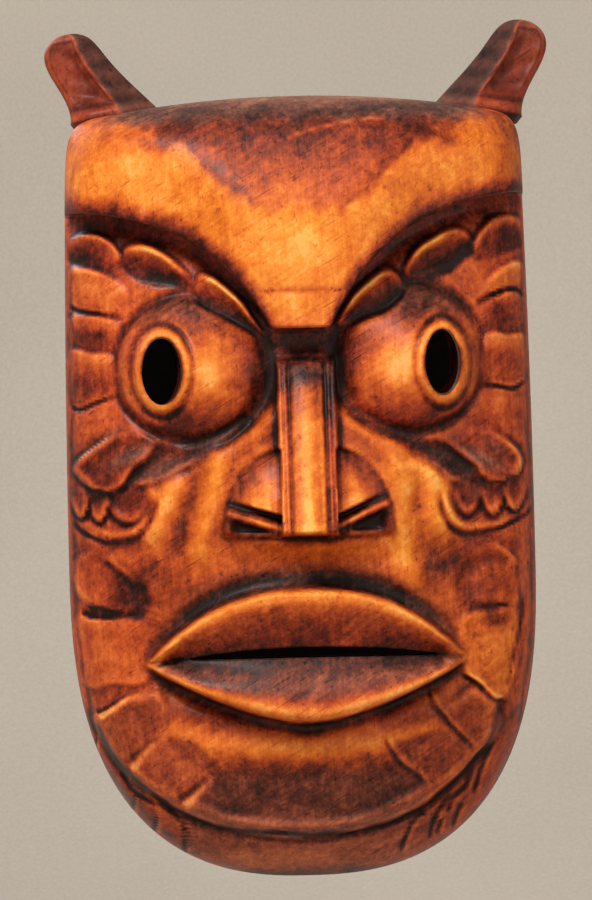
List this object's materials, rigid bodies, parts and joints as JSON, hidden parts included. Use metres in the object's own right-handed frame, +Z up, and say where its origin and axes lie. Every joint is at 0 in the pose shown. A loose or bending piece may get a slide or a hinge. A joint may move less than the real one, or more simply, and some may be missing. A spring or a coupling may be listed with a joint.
{
  "type": "noh mask",
  "caption": "Deep hollow carved wooden mask with pierced bulging eyes, a fluted nose, a mouth slit, pegged-on ears, tie holes and a let-in hanger plate.",
  "frame": {"origin": "centre of the back rim, halfway between chin and crown, in the plane of the rim", "axes": "+Z up as worn or hung, the face looks toward -Y, +X to the right of someone looking at the face"},
  "size_m": [0.1941, 0.118, 0.3285],
  "materials": {
    "carved_wood": "hand-carved, stained and varnished, semi-gloss",
    "ear_wood": "hand-carved, redder stain, satin",
    "peg_wood": "plain turned dowel",
    "plated_steel": "dull zinc plate"
  },
  "bodies": {
    "root": {"mask_shell": "carved_wood", "left_ear": "ear_wood", "right_ear": "ear_wood", "left_ear_pegs": "peg_wood", "right_ear_pegs": "peg_wood", "hanger_plate": "plated_steel", "hanger_nails": "plated_steel"}
  },
  "joints": []
}
